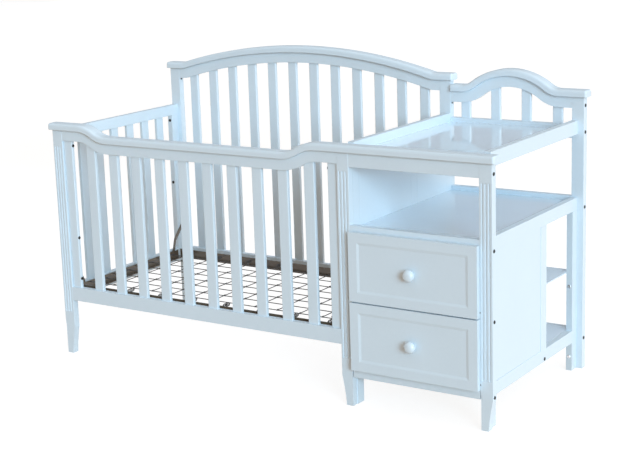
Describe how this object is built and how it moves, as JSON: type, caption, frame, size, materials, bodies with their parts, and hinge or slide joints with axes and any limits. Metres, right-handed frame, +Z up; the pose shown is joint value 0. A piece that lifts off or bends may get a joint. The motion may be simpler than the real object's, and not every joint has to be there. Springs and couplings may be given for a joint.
{
  "type": "crib with attached changer",
  "caption": "Slatted crib with an arched back and spring mattress support, joined to a changing table with an open shelf, drawers with ball knobs and side cubbies.",
  "frame": {"origin": "middle of the footprint box, on the floor", "axes": "+X to the right along the length, from the crib to the changer; +Y from the front to the back; +Z up"},
  "size_m": [1.632, 0.72, 1],
  "materials": {
    "white_paint": "satin white paint",
    "white_board": "gloss white lacquer",
    "drawer_box": "matt white",
    "runner_steel": "plain zinc",
    "dark_iron": "satin black"
  },
  "bodies": {
    "crib_and_changer": {"left_front_post": "white_paint", "middle_front_post": "white_paint", "right_front_post": "white_paint", "crib_back_posts": "white_paint", "changer_back_post": "white_paint", "front_cap": "white_paint", "crib_back_cap": "white_paint", "changer_back_cap": "white_paint", "crib_front_top_rail": "white_paint", "crib_front_bottom_rail": "white_paint", "crib_front_stiles": "white_paint", "crib_front_slats": "white_paint", "crib_back_top_rail": "white_paint", "crib_back_bottom_rail": "white_paint", "crib_back_slats": "white_board", "left_end_stiles": "white_paint", "left_end_top_rail": "white_paint", "left_end_bottom_rail": "white_paint", "left_end_slats": "white_paint", "changer_end_legs": "white_paint", "changer_rim_rails": "white_paint", "changer_end_bottom_rails": "white_paint", "changer_end_stiles": "white_paint", "middle_end_panels": "white_paint", "right_end_panel": "white_paint", "right_end_shelf_rail": "white_paint", "changer_front_top_rail": "white_paint", "shelf_front_rail": "white_paint", "drawer_cross_rail": "white_paint", "front_bottom_rail": "white_paint", "changing_tray": "white_board", "open_shelf": "white_board", "divider_panel": "white_paint", "cubby_middle_shelf": "white_board", "cubby_bottom_shelf": "white_board", "changer_back_top_rail": "white_paint", "changer_back_lower_rail": "white_paint", "shelf_back_rail": "white_paint", "changer_back_bottom_rail": "white_paint", "changer_back_slats": "white_board", "fixed_runners": "runner_steel", "drawer_pads": "dark_iron", "mattress_long_irons": "dark_iron", "mattress_end_irons": "dark_iron", "mattress_net": "dark_iron", "mattress_springs": "dark_iron", "mattress_straps": "dark_iron", "bolts": "dark_iron"},
    "upper_drawer": {"upper_drawer_front": "white_paint", "upper_drawer_sides": "drawer_box", "upper_drawer_back": "drawer_box", "upper_drawer_bottom": "drawer_box", "upper_drawer_knob": "white_paint", "upper_drawer_runners": "runner_steel"},
    "lower_drawer": {"lower_drawer_front": "white_paint", "lower_drawer_sides": "drawer_box", "lower_drawer_back": "drawer_box", "lower_drawer_bottom": "drawer_box", "lower_drawer_knob": "white_paint", "lower_drawer_runners": "runner_steel"}
  },
  "joints": [
    {"name": "upper_drawer_slide", "type": "slide", "parent": "crib_and_changer", "child": "upper_drawer", "axis": [0, -1, 0], "range_m": [0, 0.28]},
    {"name": "lower_drawer_slide", "type": "slide", "parent": "crib_and_changer", "child": "lower_drawer", "axis": [0, -1, 0], "range_m": [0, 0.28]}
  ]
}
